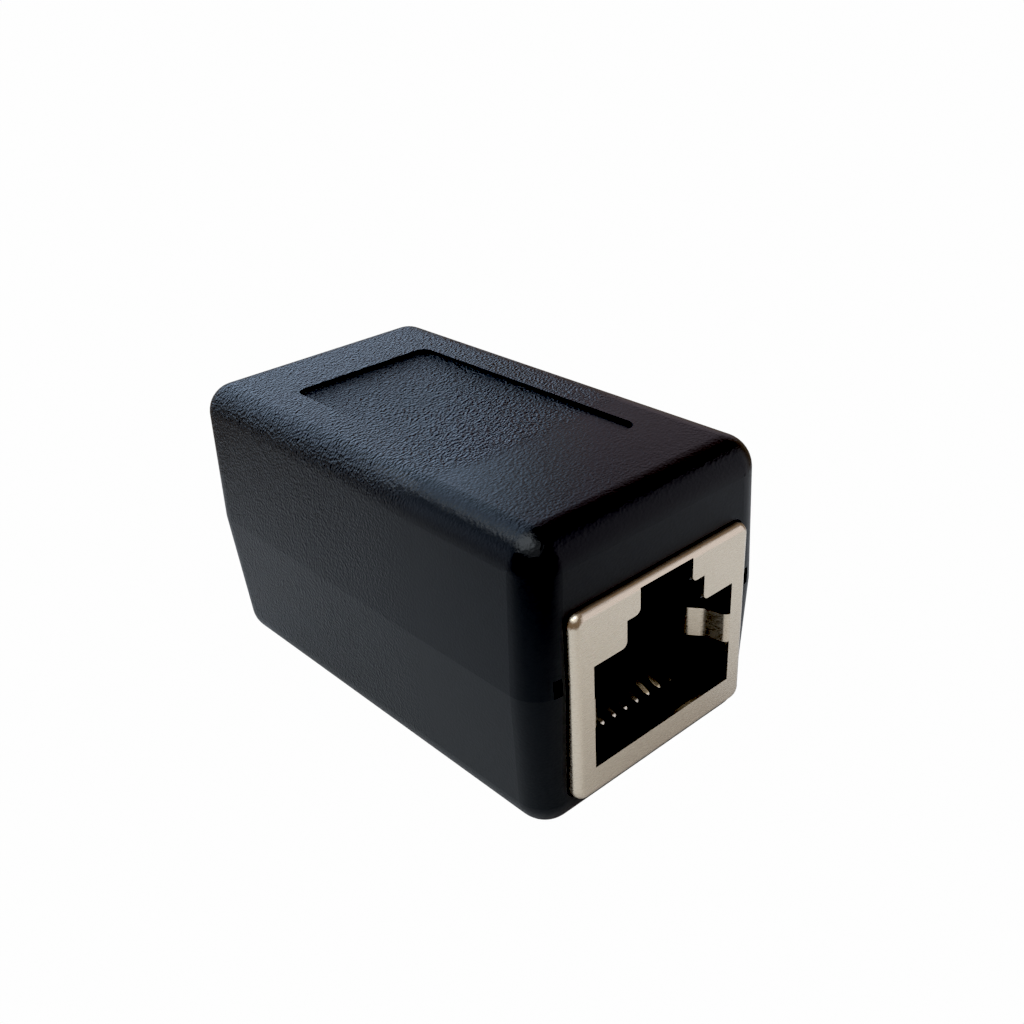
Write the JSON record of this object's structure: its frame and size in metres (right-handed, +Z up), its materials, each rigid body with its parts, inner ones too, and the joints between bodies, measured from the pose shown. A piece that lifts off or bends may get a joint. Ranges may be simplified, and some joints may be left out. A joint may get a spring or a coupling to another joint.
{
  "type": "rj45 inline coupler",
  "caption": "Black two-part plastic box that joins two network cables end to end, with a shielded eight-way modular port at each end.",
  "frame": {"origin": "centre of the resting face under the housing, at the bottom of the box", "axes": "+Y along the length, from the port called front (at -Y) to the port called rear; +Z up, away from the contacts and towards the latch notches"},
  "size_m": [0.0196, 0.0352, 0.0197],
  "materials": {
    "housing": "black moulded plastic with a fine spark-eroded grain",
    "shield": "satin nickel plate on folded sheet",
    "jack_plastic": "black moulded plastic, smooth",
    "contact": "bright gold flash on sprung bronze",
    "board": "green solder mask over glass laminate",
    "solder": "bright tin solder"
  },
  "bodies": {
    "root": {"upper_shell": "housing", "lower_shell": "housing", "circuit_board": "board", "front_shield": "shield", "front_jack_body": "jack_plastic", "front_contact_block": "jack_plastic", "front_contact_1": "contact", "front_contact_2": "contact", "front_contact_3": "contact", "front_contact_4": "contact", "front_contact_5": "contact", "front_contact_6": "contact", "front_contact_7": "contact", "front_contact_8": "contact", "front_solder_joints": "solder", "rear_shield": "shield", "rear_jack_body": "jack_plastic", "rear_contact_block": "jack_plastic", "rear_contact_1": "contact", "rear_contact_2": "contact", "rear_contact_3": "contact", "rear_contact_4": "contact", "rear_contact_5": "contact", "rear_contact_6": "contact", "rear_contact_7": "contact", "rear_contact_8": "contact", "rear_solder_joints": "solder"}
  },
  "joints": []
}
